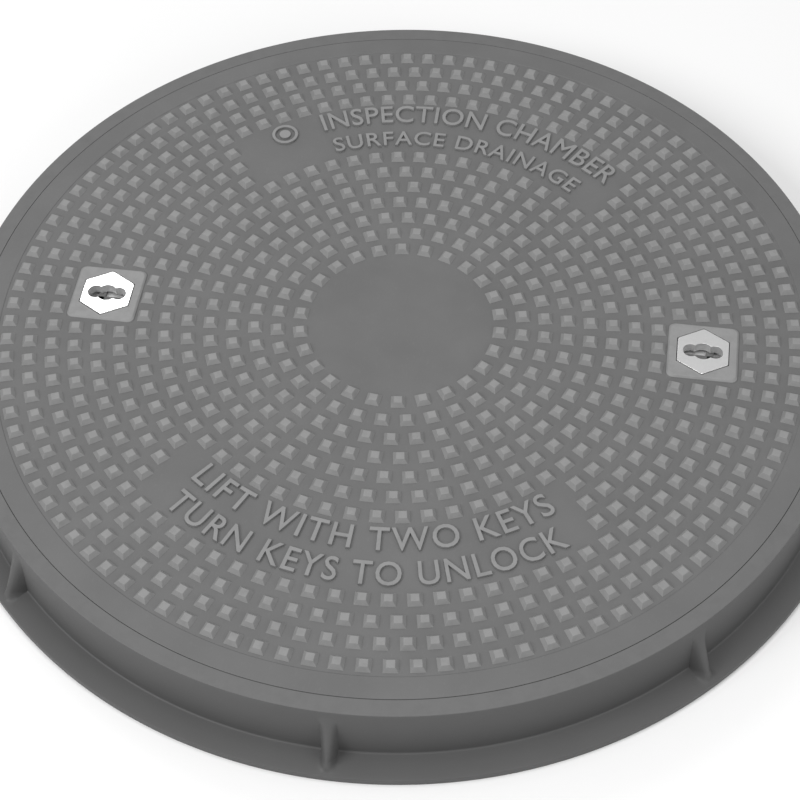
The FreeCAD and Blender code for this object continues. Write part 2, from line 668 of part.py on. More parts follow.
def spindle(side):
    """Slotted and grooved collar, shaft, cam seat and thread, one above another."""
    tag = "spindle_%s_" % side
    collar = cylinder(tag + "collar", "dim.bush_bore / 2 - dim.running_gap", COLLAR_FOOT,
                      COLLAR_TOP)
    groove = ring(tag + "groove", "dim.bush_bore / 2 - dim.running_gap * 2 - dim.o_ring_section",
                  "dim.bush_bore / 2", "(%s - dim.o_ring_section / 2 - dim.running_gap)"
                  % O_RING_MIDDLE, "(%s + dim.o_ring_section / 2 + dim.running_gap)"
                  % O_RING_MIDDLE)
    slot = block(tag + "slot", "-dim.drive_slot_length / 2", "dim.drive_slot_length / 2",
                 "-dim.drive_slot_width / 2", "dim.drive_slot_width / 2",
                 "(%s - dim.drive_slot_depth)" % COLLAR_TOP, "(%s + 1)" % COLLAR_TOP)
    shaft = cylinder(tag + "shaft", "dim.shaft_dia / 2", CAM_TOP, COLLAR_FOOT)
    seat = squared(tag + "seat_", "0", "dim.cam_bottom", CAM_TOP)
    thread = cylinder(tag + "thread", "dim.thread_dia / 2", "dim.spindle_end", "dim.cam_bottom")
    solid = fuse(tag + "solid", collar, shaft, seat, thread)
    lock_node(cut(tag + "whole", solid, groove, slot), "lock_spindle", side)


def spindle_o_ring(side):
    feature = doc.addObject("Part::Torus", "o_ring_" + side)
    bind(feature, Radius1=O_RING_RADIUS, Radius2="dim.o_ring_section / 2",
         Placement__Base__z=O_RING_MIDDLE)
    lock_node(feature, "spindle_o_ring", side)


def lock_cam(side):
    """Arm that points round the cover when unlocked, and outward under the ledge when locked."""
    tag = "cam_%s_" % side
    hub = cylinder(tag + "hub", "dim.cam_hub_dia / 2", "dim.cam_bottom", CAM_TOP)
    reach = "(%s - dim.cam_width / 2)" % CAM_REACH
    arm = block(tag + "arm", "-dim.cam_width / 2", "dim.cam_width / 2", "0", reach,
                "dim.cam_bottom", CAM_TOP)
    tip = cylinder(tag + "tip", "dim.cam_width / 2", "dim.cam_bottom", CAM_TOP, "0", reach)
    hole = squared(tag + "hole_", "dim.cam_seat_gap", "dim.cam_bottom", CAM_TOP)
    lock_node(cut(tag + "whole", fuse(tag + "solid", hub, arm, tip), hole), "lock_cam", side)


def cam_washer(side):
    lock_node(ring("cam_washer_%s_flat" % side, "dim.thread_dia / 2 + dim.fastener_gap",
                   "dim.cam_washer_dia / 2", CAM_WASHER_FOOT, "dim.cam_bottom"),
              "cam_washer", side)


def cam_nut(side):
    tag = "cam_nut_%s_" % side
    block_of_nut = hexagon(tag + "body", "dim.cam_nut_flats", CAM_NUT_FOOT, CAM_WASHER_FOOT)
    hole = cylinder(tag + "hole", "dim.thread_dia / 2 + dim.fastener_gap", CAM_NUT_FOOT,
                    CAM_WASHER_FOOT)
    lock_node(cut(tag + "whole", block_of_nut, hole), "cam_nut", side)


# ---------------------------------------------------------------- build, check, write
def build():
    frame_ring()
    seat_gasket()
    cover_plate()
    for side in ("left", "right"):
        for piece in (keyhole_insert, insert_seal, stop_plate, ring_washer, ring_nut, spindle_bush,
                      wave_washer, spindle, spindle_o_ring, lock_cam, cam_washer, cam_nut):
            piece(side)
    doc.recompute()


def check():
    """Stop if any feature failed or any piece is not one valid solid."""
    failed = [item.Name for item in doc.Objects if {"Invalid", "Error"} & set(item.State)]
    if failed:
        raise RuntimeError("failed features: " + ", ".join(failed))
    for feature in nodes:
        shape = feature.Shape
        if shape.isNull() or not shape.isValid() or len(shape.Solids) != 1:
            raise RuntimeError(feature.Label + " is not one valid solid")


def write():
    os.makedirs("parts", exist_ok=True)
    for feature in nodes:
        feature.Shape.exportStep("parts/%s.step" % feature.Label)


build()
check()
write()
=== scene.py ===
"""Studio scene of a round access cover in its frame, both moulded in glass-filled polyester.

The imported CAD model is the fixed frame. The cover and the frame ring get finer mouldings that
stand for their CAD nodes; the small turned and cast pieces get softened edges. Metres, +Z up.
"""
import json
import math

import bmesh
import bpy
from mathutils import Matrix, Vector

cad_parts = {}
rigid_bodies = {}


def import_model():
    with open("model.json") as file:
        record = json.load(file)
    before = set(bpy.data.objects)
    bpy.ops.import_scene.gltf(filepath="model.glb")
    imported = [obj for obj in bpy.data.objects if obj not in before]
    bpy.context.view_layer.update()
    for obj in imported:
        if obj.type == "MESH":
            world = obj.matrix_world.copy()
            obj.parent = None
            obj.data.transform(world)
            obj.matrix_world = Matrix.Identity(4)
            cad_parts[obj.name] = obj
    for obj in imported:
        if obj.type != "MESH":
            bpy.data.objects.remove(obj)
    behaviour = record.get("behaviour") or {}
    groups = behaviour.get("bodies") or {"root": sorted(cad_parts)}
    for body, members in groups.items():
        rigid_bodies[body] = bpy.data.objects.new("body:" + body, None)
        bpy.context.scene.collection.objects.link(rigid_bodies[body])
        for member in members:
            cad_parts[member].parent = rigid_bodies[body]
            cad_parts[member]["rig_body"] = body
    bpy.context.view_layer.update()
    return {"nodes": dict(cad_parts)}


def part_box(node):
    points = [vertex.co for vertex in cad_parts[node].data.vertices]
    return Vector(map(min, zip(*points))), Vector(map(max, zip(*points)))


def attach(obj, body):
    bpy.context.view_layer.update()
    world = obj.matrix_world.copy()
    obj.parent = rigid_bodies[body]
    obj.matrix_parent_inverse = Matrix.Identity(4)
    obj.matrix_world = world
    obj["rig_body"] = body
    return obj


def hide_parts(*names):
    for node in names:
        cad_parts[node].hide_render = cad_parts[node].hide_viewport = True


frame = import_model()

MM = 0.001

# ---------------------------------------------------------------- sizes read from the frame
COVER_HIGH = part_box("cover_plate")[1]
FRAME_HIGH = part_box("frame_ring")[1]
GASKET_LOW, GASKET_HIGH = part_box("seat_gasket")
INSERT_LOW, INSERT_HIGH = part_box("keyhole_insert_right")

LOCK_X = (INSERT_LOW.x + INSERT_HIGH.x) / 2
HEAD_TOP = INSERT_HIGH.z
COVER_RADIUS = COVER_HIGH.x
RIM_TOP = FRAME_HIGH.z
SEAT = GASKET_HIGH.z
FLANGE_RADIUS = FRAME_HIGH.x

# ---------------------------------------------------------------- sizes of the mouldings
FIELD_DROP = 0.5 * MM
FIELD = RIM_TOP - FIELD_DROP
FIELD_RADIUS = COVER_RADIUS - 17 * MM
PLATE_UNDER = FIELD - 7 * MM
RIB_BOTTOM = 22 * MM
RIB_WALL = 6 * MM
DEEP_RADIUS = 298 * MM
RING_PITCH = 55 * MM
HUB_RADIUS = 30 * MM
SKIRT_WIDTH = 14 * MM
COVER_EDGE = COVER_RADIUS + 0.5 * MM  # leaves a joint of 0.2 mm, which shows as a thin line
COVER_RIB_RINGS = 4
INNER_RIBS = 16
OUTER_RIBS = 32
RIB_ROUNDING = 0.8 * MM
SEAT_HOLE_RADIUS = 24.5 * MM  # in the plate, hidden by the pad above and the boss below
BOSS_ROOM = 3 * MM
OUTER_RIB_BOTTOM = SEAT + 3 * MM

STUD_RINGS = 14
FIRST_RING_RADIUS = 78 * MM
STUD_RING_PITCH = 17.46 * MM
FIRST_RING_STUDS = 26
STUDS_ADDED = 6
STUD_BASE = 11.4 * MM
STUD_TOP = 6 * MM
STUD_HEIGHT = 3.5 * MM
STUD_SINK = 0.2 * MM  # the foot goes this far into the field
STUD_ROUNDING = 0.3 * MM
PANEL_RINGS = (7, 8, 9)
PANEL_HALF_ANGLE = math.radians(44.5)

PAD_BASE = 55 * MM
PAD_TOP_WIDTH = 51 * MM
PAD_HEIGHT = 1.8 * MM
PAD_CORNER = 4 * MM
HEAD_FLATS = 39 * MM
POCKET_FLATS = HEAD_FLATS + 1.2 * MM
POCKET_FLOOR = 44.5 * MM
BARREL_HOLE = 15.1 * MM
BOSS_RADIUS = 29 * MM
BOSS_BOTTOM = 29 * MM

FRAME_BORE = COVER_RADIUS + 0.7 * MM
FRAME_TOP_RADIUS = FRAME_BORE + 12.8 * MM
WALL_FOOT_RADIUS = FRAME_TOP_RADIUS + 1.5 * MM
CLEAR_RADIUS = 300 * MM
LEDGE_TOP = 27 * MM
LEDGE_UNDER = 18.5 * MM
GASKET_FOOT = GASKET_LOW.z
GROOVE_IN = 308 * MM
GROOVE_OUT = 324 * MM
FLANGE_EDGE = 6 * MM
FLANGE_ROOT = 8 * MM
ROOT_ROUND = 1.5 * MM
GUSSET_COUNT = 8
GUSSET_HEAD = RIM_TOP - 7 * MM
GUSSET_TOE = FLANGE_EDGE + 2 * MM
GUSSET_INSET = 4 * MM
GUSSET_HALF = 5.2 * MM
GUSSET_FOOT = 6.4 * MM
GUSSET_SHOULDER = 0.98
GUSSET_END = 5 * MM
WALL_STEPS = 18
FLANGE_STEPS = 6
FRAME_TURN_STEPS = 1440
COVER_TURN_STEPS = 360
BRACKET_COUNT = 30
BRACKET_INSET = 3 * MM
BRACKET_FOOT = 6 * MM
BRACKET_SWING_ROOM = math.radians(15)


# ---------------------------------------------------------------- mesh helpers
SHARP_ANGLE = math.radians(32)
WELD = 1e-7


def new_piece(name, bm, body, material, replaces=()):
    """Turn a finished bmesh into a piece that rides on a body."""
    bmesh.ops.recalc_face_normals(bm, faces=bm.faces)
    mesh = bpy.data.meshes.new(name)
    bm.to_mesh(mesh)
    bm.free()
    mesh.shade_smooth()
    mesh.set_sharp_from_angle(angle=SHARP_ANGLE)
    piece = bpy.data.objects.new(name, mesh)
    bpy.context.scene.collection.objects.link(piece)
    mesh.materials.append(material)
    even = piece.modifiers.new("even_shading", "WEIGHTED_NORMAL")
    even.keep_sharp = True
    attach(piece, body)
    if replaces:
        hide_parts(*replaces)
    return piece


def sharp_edges(bm, least=math.radians(40)):
    """Edges where two faces meet at more than the angle given."""
    return [edge for edge in bm.edges if edge.is_manifold and edge.calc_face_angle(0) > least]


def soften(bm, width, segments=2, edges=None):
    """Round off edges, or all sharp edges if none are named."""
    bmesh.ops.bevel(bm, geom=edges or sharp_edges(bm), offset=width, offset_type="OFFSET",
                    segments=segments, profile=0.5, affect="EDGES", clamp_overlap=True,
                    material=-1)


def spun(profile, steps, softened):
    """A closed ring from (radius, height) points, with rounded corners."""
    bm = bmesh.new()
    verts = [bm.verts.new((r, 0, z)) for r, z in profile]
    for i, vert in enumerate(verts):
        bm.edges.new((vert, verts[(i + 1) % len(verts)]))
    bmesh.ops.bevel(bm, geom=verts, offset=softened, offset_type="OFFSET", segments=2,
                    profile=0.5, affect="VERTICES", clamp_overlap=True, material=-1)
    bmesh.ops.spin(bm, geom=bm.verts[:] + bm.edges[:], cent=(0, 0, 0), axis=(0, 0, 1),
                   dvec=(0, 0, 0), angle=math.tau, steps=steps, use_merge=True,
                   use_duplicate=False)
    bmesh.ops.remove_doubles(bm, verts=bm.verts, dist=WELD)
    bmesh.ops.recalc_face_normals(bm, faces=bm.faces)
    return bm


def block(low, high, softened):
    """A box between two corners, with rounded edges."""
    bm = bmesh.new()
    bmesh.ops.create_cube(bm, size=1)
    size = Vector(high) - Vector(low)
    bmesh.ops.scale(bm, vec=size, verts=bm.verts)
    bmesh.ops.translate(bm, vec=(Vector(high) + Vector(low)) / 2, verts=bm.verts)
    soften(bm, softened)
    return bm


def bar(radius, low, high, centre=(0, 0), sides=48, softened=0.0):
    """An upright round or many-sided bar from one height to another."""
    bm = bmesh.new()
    place = Matrix.Translation((centre[0], centre[1], (low + high) / 2))
    bmesh.ops.create_cone(bm, cap_ends=True, cap_tris=False, segments=sides, radius1=radius,
                          radius2=radius, depth=high - low, matrix=place)
    if softened:
        soften(bm, softened, 2, sharp_edges(bm, math.radians(70)))
    return bm


def join(*parts):
    """One bmesh from several, which are used up."""
    whole = bmesh.new()
    for part in parts:
        mesh = bpy.data.meshes.new("part")
        part.to_mesh(mesh)
        part.free()
        whole.from_mesh(mesh)
        bpy.data.meshes.remove(mesh)
    return whole


def turned_copies(bm, turns):
    """Copies of one bmesh at several angles about Z, as one bmesh; the original is used up."""
    mesh = bpy.data.meshes.new("master")
    bm.to_mesh(mesh)
    bm.free()
    whole = bmesh.new()
    for turn in turns:
        placed = mesh.copy()
        placed.transform(Matrix.Rotation(turn, 4, "Z"))
        whole.from_mesh(placed)
        bpy.data.meshes.remove(placed)
    bpy.data.meshes.remove(mesh)
    return whole


def scratch_object(name, bm):
    """A plain object from a bmesh, which is used up."""
    mesh = bpy.data.meshes.new(name)
    bm.to_mesh(mesh)
    bm.free()
    thing = bpy.data.objects.new(name, mesh)
    bpy.context.scene.collection.objects.link(thing)
    return thing


def carved(bm, cutter):
    """bm with cutter taken out of it; both are used up. bm's parts may not overlap each other."""
    solid = scratch_object("carved_solid", bm)
    tool = scratch_object("carving_tool", cutter)
    modifier = solid.modifiers.new("carve", "BOOLEAN")
    modifier.operation = "DIFFERENCE"
    modifier.solver = "EXACT"
    modifier.object = tool
    graph = bpy.context.evaluated_depsgraph_get()
    mesh = bpy.data.meshes.new_from_object(solid.evaluated_get(graph))
    result = bmesh.new()
    result.from_mesh(mesh)
    for thing in (solid, tool):
        bpy.data.objects.remove(thing)
    bpy.data.meshes.remove(mesh)
    return result


# ---------------------------------------------------------------- cover moulding
def off_lock_axis(turn):
    """How far a direction lies from the nearer half of the X axis."""
    return abs((turn + math.pi / 2) % math.pi - math.pi / 2)


def cover_disc():
    """Plate with its sunk field, plain rim and edge wall, holed where the key seats go."""
    skirt_in = COVER_RADIUS - SKIRT_WIDTH
    profile = [
        (0, FIELD),
        (FIELD_RADIUS, FIELD),
        (FIELD_RADIUS + 0.5 * MM, RIM_TOP),
        (COVER_EDGE, RIM_TOP),
        (COVER_EDGE, SEAT),
        (skirt_in, SEAT),
        (skirt_in, PLATE_UNDER),
        (DEEP_RADIUS, PLATE_UNDER),
        (DEEP_RADIUS, RIB_BOTTOM),
        (DEEP_RADIUS - RIB_WALL, RIB_BOTTOM),
        (DEEP_RADIUS - RIB_WALL, PLATE_UNDER),
        (HUB_RADIUS, PLATE_UNDER),
        (HUB_RADIUS, RIB_BOTTOM),
        (0, RIB_BOTTOM),
    ]
    bm = bmesh.new()
    verts = [bm.verts.new((r, 0, z)) for r, z in profile]
    for low, high in zip(verts, verts[1:]):
        bm.edges.new((low, high))
    corners = verts[2:-1]
    bmesh.ops.bevel(bm, geom=corners, offset=0.4 * MM, offset_type="OFFSET", segments=3,
                    profile=0.5, affect="VERTICES", clamp_overlap=True, material=-1)
    bmesh.ops.spin(bm, geom=bm.verts[:] + bm.edges[:], cent=(0, 0, 0), axis=(0, 0, 1),
                   dvec=(0, 0, 0), angle=math.tau, steps=COVER_TURN_STEPS, use_merge=True,
                   use_duplicate=False)
    bmesh.ops.remove_doubles(bm, verts=bm.verts, dist=WELD)
    bmesh.ops.recalc_face_normals(bm, faces=bm.faces)
    holes = join(*[bar(SEAT_HOLE_RADIUS, PLATE_UNDER - MM, RIM_TOP + MM, (x, 0))
                   for x in (LOCK_X, -LOCK_X)])
    return carved(bm, holes)


def cover_ribs():
    """Rings and radial ribs under the plate, clear of the two bosses."""
    room = join(*[bar(BOSS_RADIUS + BOSS_ROOM, RIB_BOTTOM - 2 * MM, BOSS_BOTTOM, (x, 0))
                  for x in (LOCK_X, -LOCK_X)])
    parts = []
    for i in range(1, COVER_RIB_RINGS + 1):
        outer = DEEP_RADIUS - i * RING_PITCH
        ring = spun([(outer, PLATE_UNDER + MM), (outer, RIB_BOTTOM),
                     (outer - RIB_WALL, RIB_BOTTOM), (outer - RIB_WALL, PLATE_UNDER + MM)],
                    180, RIB_ROUNDING)
        parts.append(carved(ring, scratch_copy(room)))
    middle = DEEP_RADIUS - 3 * RING_PITCH - RIB_WALL / 2
    spans = (
        (HUB_RADIUS - RIB_WALL, middle, RIB_BOTTOM, INNER_RIBS),
        (middle, DEEP_RADIUS - RIB_WALL / 2, RIB_BOTTOM, OUTER_RIBS),
        (DEEP_RADIUS - RIB_WALL / 2, COVER_RADIUS - SKIRT_WIDTH + RIB_WALL / 2,
         OUTER_RIB_BOTTOM, OUTER_RIBS),
    )
    for start, end, bottom, count in spans:
        rib = block((start, -RIB_WALL / 2, bottom + 0.1 * MM),
                    (end, RIB_WALL / 2, PLATE_UNDER + MM), RIB_ROUNDING)
        ribs = turned_copies(rib, [math.tau * i / count for i in range(count)])
        parts.append(carved(ribs, scratch_copy(room)))
    room.free()
    return join(*parts)


def key_seat():
    """Pad, boss and hexagon pocket of one key point, made about the Z axis."""
    pad = bmesh.new()
    bmesh.ops.create_cube(pad, size=1)
    bmesh.ops.scale(pad, vec=(PAD_BASE, PAD_BASE, PAD_HEIGHT + MM), verts=pad.verts)
    bmesh.ops.translate(pad, vec=(0, 0, FIELD + (PAD_HEIGHT - MM) / 2), verts=pad.verts)
    spread = (PAD_BASE - PAD_TOP_WIDTH) / PAD_HEIGHT
    for vert in pad.verts:
        wide = PAD_BASE - spread * (vert.co.z - FIELD)
        vert.co.x *= wide / PAD_BASE
        vert.co.y *= wide / PAD_BASE
    upright = [edge for edge in pad.edges if abs(edge.verts[0].co.z - edge.verts[1].co.z) > MM]
    soften(pad, PAD_CORNER, 5, upright)
    rim = [edge for edge in pad.edges if min(v.co.z for v in edge.verts) > FIELD + MM
           and edge.calc_face_angle(0) > math.radians(20)]
    soften(pad, 0.5 * MM, 3, rim)
    boss = bar(BOSS_RADIUS, BOSS_BOTTOM, FIELD - 0.5 * MM, softened=RIB_ROUNDING)
    pocket = bar(POCKET_FLATS / 2 / math.cos(math.pi / 6), POCKET_FLOOR, HEAD_TOP + MM,
                 sides=6)
    return pad, boss, pocket


def key_seats():
    """Both key seats, holed for the hexagon head and the barrel."""
    pad, boss, pocket = key_seat()
    bore = bar(BARREL_HOLE, BOSS_BOTTOM - MM, POCKET_FLOOR + MM)
    room = join(pocket, bore)
    seat = join(carved(pad, scratch_copy(room)), carved(boss, scratch_copy(room)))
    room.free()
    bmesh.ops.translate(seat, vec=(LOCK_X, 0, 0), verts=seat.verts)
    return turned_copies(seat, (0, math.pi))


def scratch_copy(bm):
    """A copy of a bmesh, which is kept."""
    mesh = bpy.data.meshes.new("copy")
    bm.to_mesh(mesh)
    twin = bmesh.new()
    twin.from_mesh(mesh)
    bpy.data.meshes.remove(mesh)
    return twin


def one_stud():
    """A blunt square pyramid with rounded edges, its foot just under the floor of the field."""
    bm = bmesh.new()
    bmesh.ops.create_cube(bm, size=1)
    bmesh.ops.scale(bm, vec=(STUD_BASE, STUD_BASE, STUD_HEIGHT + STUD_SINK), verts=bm.verts)
    bmesh.ops.translate(bm, vec=(0, 0, FIELD + (STUD_HEIGHT - STUD_SINK) / 2), verts=bm.verts)
    top = [vert for vert in bm.verts if vert.co.z > FIELD]
    bmesh.ops.scale(bm, vec=(STUD_TOP / STUD_BASE, STUD_TOP / STUD_BASE, 1), verts=top)
    foot = [face for face in bm.faces if face.normal.z < -0.9]
    bmesh.ops.delete(bm, geom=foot, context="FACES_ONLY")
    rounded = [edge for edge in bm.edges if not edge.is_boundary]
    soften(bm, STUD_ROUNDING, 2, rounded)
    return bm


def stud_places():
    """Radius and direction of every stud: full rings, but for two panels and the two pads."""
    places = []
    for k in range(STUD_RINGS):
        radius = FIRST_RING_RADIUS + k * STUD_RING_PITCH
        count = FIRST_RING_STUDS + k * STUDS_ADDED
        for i in range(count):
            turn = math.tau * i / count
            across = radius * abs(math.cos(turn)) - LOCK_X
            along = radius * math.sin(turn)
            on_pad = max(abs(across), abs(along)) < (PAD_BASE + STUD_BASE) / 2
            in_panel = k in PANEL_RINGS and math.pi / 2 - off_lock_axis(turn) < PANEL_HALF_ANGLE
            if not on_pad and not in_panel:
                places.append((radius, turn))
    return places


def tread():
    """All the studs as one bmesh, each square to its own radius."""
    stud = bpy.data.meshes.new("stud")
    shape = one_stud()
    shape.to_mesh(stud)
    shape.free()
    whole = bmesh.new()
    for radius, turn in stud_places():
        placed = stud.copy()
        placed.transform(Matrix.Rotation(turn, 4, "Z") @ Matrix.Translation((radius, 0, 0)))
        whole.from_mesh(placed)
        bpy.data.meshes.remove(placed)
    return whole


# ---------------------------------------------------------------- raised words
CAPITAL_SHARE = 0.73  # height of a capital over the letters' nominal size
WORD_MIDDLE = 0.75 * MM  # mid-height of the letters above the field
ROUNDEL_TOP = 1.9 * MM
ROUNDEL_SINK = 0.3 * MM
ROUNDEL_ROUNDING = 0.4 * MM


def raised_words(words, height, radius, arc, spread, inward=False):
    """Plain block capitals bent round the cover, of a given height, to fill an arc in degrees.

    They read upright from the front: their tops point outward at the back of the cover, and
    inward at the front of it.
    """
    face = bpy.data.curves.new("words", "FONT")
    face.body = words
    face.align_x = "CENTER"
    face.align_y = "CENTER"
    face.size = height / CAPITAL_SHARE
    face.space_character = spread
    face.extrude = 1.0 * MM
    face.bevel_depth = 0.25 * MM
    face.bevel_resolution = 1
    face.resolution_u = 4
    holder = bpy.data.objects.new("words", face)
    bpy.context.scene.collection.objects.link(holder)
    graph = bpy.context.evaluated_depsgraph_get()
    mesh = bpy.data.meshes.new_from_object(holder.evaluated_get(graph))
    bpy.data.objects.remove(holder)
    bpy.data.curves.remove(face)
    bm = bmesh.new()
    bm.from_mesh(mesh)
    bpy.data.meshes.remove(mesh)
    bmesh.ops.remove_doubles(bm, verts=bm.verts, dist=1e-6)
    sense = 1 if inward else -1
    middle = math.radians(sum(arc) / 2)
    width = max(vert.co.x for vert in bm.verts) - min(vert.co.x for vert in bm.verts)
    stretch = math.radians(arc[1] - arc[0]) / width
    for vert in bm.verts:
        out = radius - vert.co.y if inward else radius + vert.co.y
        turn = middle + sense * vert.co.x * stretch
        vert.co = (out * math.cos(turn), out * math.sin(turn), FIELD + WORD_MIDDLE + vert.co.z)
    return bm


def plain_roundel(turn, radius, size):
    """A plain raised ring and disc, where a maker's sign would go."""
    low, high = FIELD - ROUNDEL_SINK, FIELD + ROUNDEL_TOP
    ring_in = size * 0.38
    outer = spun([(size / 2, low), (size / 2, high), (ring_in, high), (ring_in, low)],
                 48, ROUNDEL_ROUNDING)
    inner = bar(size * 0.22, low, high, softened=ROUNDEL_ROUNDING)
    whole = join(outer, inner)
    bmesh.ops.translate(whole, vec=(radius, 0, 0), verts=whole.verts)
    bmesh.ops.rotate(whole, cent=(0, 0, 0), matrix=Matrix.Rotation(turn, 3, "Z"),
                     verts=whole.verts)
    return whole


# ---------------------------------------------------------------- frame moulding
def frame_section():
    """The frame's outline, finely stepped outside so that the gussets can swell out of it."""
    outer_top = [(FRAME_TOP_RADIUS + (WALL_FOOT_RADIUS - FRAME_TOP_RADIUS) * i / WALL_STEPS,
                  RIM_TOP - (RIM_TOP - FLANGE_ROOT - ROOT_ROUND) * i / WALL_STEPS)
                 for i in range(WALL_STEPS + 1)]
    fillet = [(WALL_FOOT_RADIUS + ROOT_ROUND * (1 - math.cos(a)),
               FLANGE_ROOT + ROOT_ROUND * (1 - math.sin(a)))
              for a in (math.pi / 8, math.pi / 4, math.pi * 3 / 8, math.pi / 2)]
    flange_start = WALL_FOOT_RADIUS + ROOT_ROUND
    flange = [(flange_start + (FLANGE_RADIUS - flange_start) * i / FLANGE_STEPS,
               FLANGE_ROOT - (FLANGE_ROOT - FLANGE_EDGE) * i / FLANGE_STEPS)
              for i in range(1, FLANGE_STEPS + 1)]
    inside = [
        (FLANGE_RADIUS, 0),
        (FRAME_BORE, 0),
        (FRAME_BORE, LEDGE_UNDER),
        (CLEAR_RADIUS, LEDGE_UNDER),
        (CLEAR_RADIUS, LEDGE_TOP),
        (GROOVE_IN, LEDGE_TOP),
        (GROOVE_IN, GASKET_FOOT),
        (GROOVE_OUT, GASKET_FOOT),
        (GROOVE_OUT, LEDGE_TOP),
        (FRAME_BORE, LEDGE_TOP),
        (FRAME_BORE, RIM_TOP),
    ]
    return outer_top, fillet + flange, inside


def frame_ring():
    """Wall, flange and ledge, the eight gussets drawn out of the wall, brackets underneath."""
    outer_top, outer_foot, inside = frame_section()
    bm = bmesh.new()
    verts = [bm.verts.new((r, 0, z)) for r, z in outer_top + outer_foot + inside]
    for i, vert in enumerate(verts):
        bm.edges.new((vert, verts[(i + 1) % len(verts)]))
    first_inside = len(outer_top) + len(outer_foot)
    corners = [verts[0], verts[first_inside - 1]] + verts[first_inside:]
    bmesh.ops.bevel(bm, geom=corners, offset=0.6 * MM, offset_type="OFFSET", segments=2,
                    profile=0.5, affect="VERTICES", clamp_overlap=True, material=-1)
    bmesh.ops.spin(bm, geom=bm.verts[:] + bm.edges[:], cent=(0, 0, 0), axis=(0, 0, 1),
                   dvec=(0, 0, 0), angle=math.tau, steps=FRAME_TURN_STEPS, use_merge=True,
                   use_duplicate=False)
    bmesh.ops.remove_doubles(bm, verts=bm.verts, dist=WELD)
    draw_out_gussets(bm)
    bracket = block((CLEAR_RADIUS + BRACKET_INSET, -RIB_WALL / 2, FLANGE_EDGE / 2),
                    (FRAME_BORE + 2 * MM, RIB_WALL / 2, LEDGE_UNDER + MM), RIB_ROUNDING)
    middle = (CLEAR_RADIUS + FRAME_BORE) / 2
    low_inside = [vert for vert in bracket.verts
                  if vert.co.z < LEDGE_UNDER / 2 and vert.co.x < middle]
    run = FRAME_BORE - BRACKET_FOOT - CLEAR_RADIUS - BRACKET_INSET
    bmesh.ops.translate(bracket, vec=(run, 0, 0), verts=low_inside)
    turns = [math.tau * (i + 0.5) / BRACKET_COUNT for i in range(BRACKET_COUNT)]
    kept = [turn for turn in turns if off_lock_axis(turn) > BRACKET_SWING_ROOM]
    return join(bm, turned_copies(bracket, kept))


def draw_out_gussets(bm):
    """Pull the outer face out to each gusset's sloping ridge, fading to the wall at its sides."""
    head = Vector((FRAME_TOP_RADIUS, 0, GUSSET_HEAD))
    toe = Vector((FLANGE_RADIUS - GUSSET_INSET, 0, GUSSET_TOE))
    slope = (toe - head).normalized()
    outward = Vector((-slope.z, 0, slope.x))
    pitch = math.tau / GUSSET_COUNT
    for vert in bm.verts:
        radius = math.hypot(vert.co.x, vert.co.y)
        if radius < FRAME_TOP_RADIUS - 0.1 * MM or vert.co.z < FLANGE_EDGE - 0.1 * MM:
            continue
        turn = math.atan2(vert.co.y, vert.co.x)
        nearest = round(turn / pitch) * pitch
        aside = abs(turn - nearest) * radius
        rise = gusset_rise(aside)
        section = Vector((radius, 0, vert.co.z))
        short = (head - section).dot(outward)
        along = (section - head).dot(slope)
        if rise <= 0 or short <= 0 or along < 0:
            continue
        rise *= rounded_end(along) * rounded_end((toe - head).length + 3 * MM - along)
        section += outward * short * rise
        vert.co = (section.x * math.cos(turn), section.x * math.sin(turn), section.z)


def rounded_end(inside):
    """0 at the end of a gusset, rising along a quarter circle to 1 a little way in."""
    if inside >= GUSSET_END:
        return 1
    return math.sqrt(max(0, 1 - (1 - inside / GUSSET_END) ** 2))


def gusset_rise(aside):
    """1 along the ridge of a gusset, falling round to a small hollow blend at its foot."""
    shoulder = GUSSET_SHOULDER * GUSSET_HALF
    if aside <= shoulder:
        return math.sqrt(1 - (aside / GUSSET_HALF) ** 2)
    if aside >= GUSSET_FOOT:
        return 0
    t = (GUSSET_FOOT - aside) / (GUSSET_FOOT - shoulder)
    return t * t * math.sqrt(1 - GUSSET_SHOULDER ** 2)


# ---------------------------------------------------------------- small parts
def softened_twin(node, width, material):
    """A CAD piece with its sharp edges rounded, which stands for the CAD node."""
    source = frame["nodes"][node]
    bm = bmesh.new()
    bm.from_mesh(source.data)
    bmesh.ops.remove_doubles(bm, verts=bm.verts, dist=2e-6)
    bmesh.ops.dissolve_limit(bm, angle_limit=math.radians(1), use_dissolve_boundaries=False,
                             verts=bm.verts, edges=bm.edges, delimit={"NORMAL"})
    soften(bm, width, 2)
    return new_piece(node + "_softened", bm, source["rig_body"], material, (node,))


# ---------------------------------------------------------------- finishes
def linear(hex_colour):
    """An sRGB hex colour as linear RGBA."""
    parts = [int(hex_colour[i:i + 2], 16) / 255 for i in (1, 3, 5)]
    return [p / 12.92 if p <= 0.04045 else ((p + 0.055) / 1.055) ** 2.4 for p in parts] + [1]


def add(tree, kind, settings=(), links=()):
    """Add a node; settings name its properties or sockets, links name its input sockets."""
    node = tree.nodes.new("ShaderNode" + kind)
    for name, value in dict(settings).items():
        if isinstance(name, str) and hasattr(node, name):
            setattr(node, name, value)
        else:
            node.inputs[name].default_value = value
    for name, output in dict(links).items():
        tree.links.new(output, node.inputs[name])
    return node


def new_finish(name):
    """An empty material with its tree, its shader and Object coordinates."""
    material = bpy.data.materials.new(name)
    material.use_nodes = True
    tree = material.node_tree
    shader = tree.nodes["Principled BSDF"]
    where = add(tree, "TexCoord").outputs["Object"]
    return material, tree, shader, where


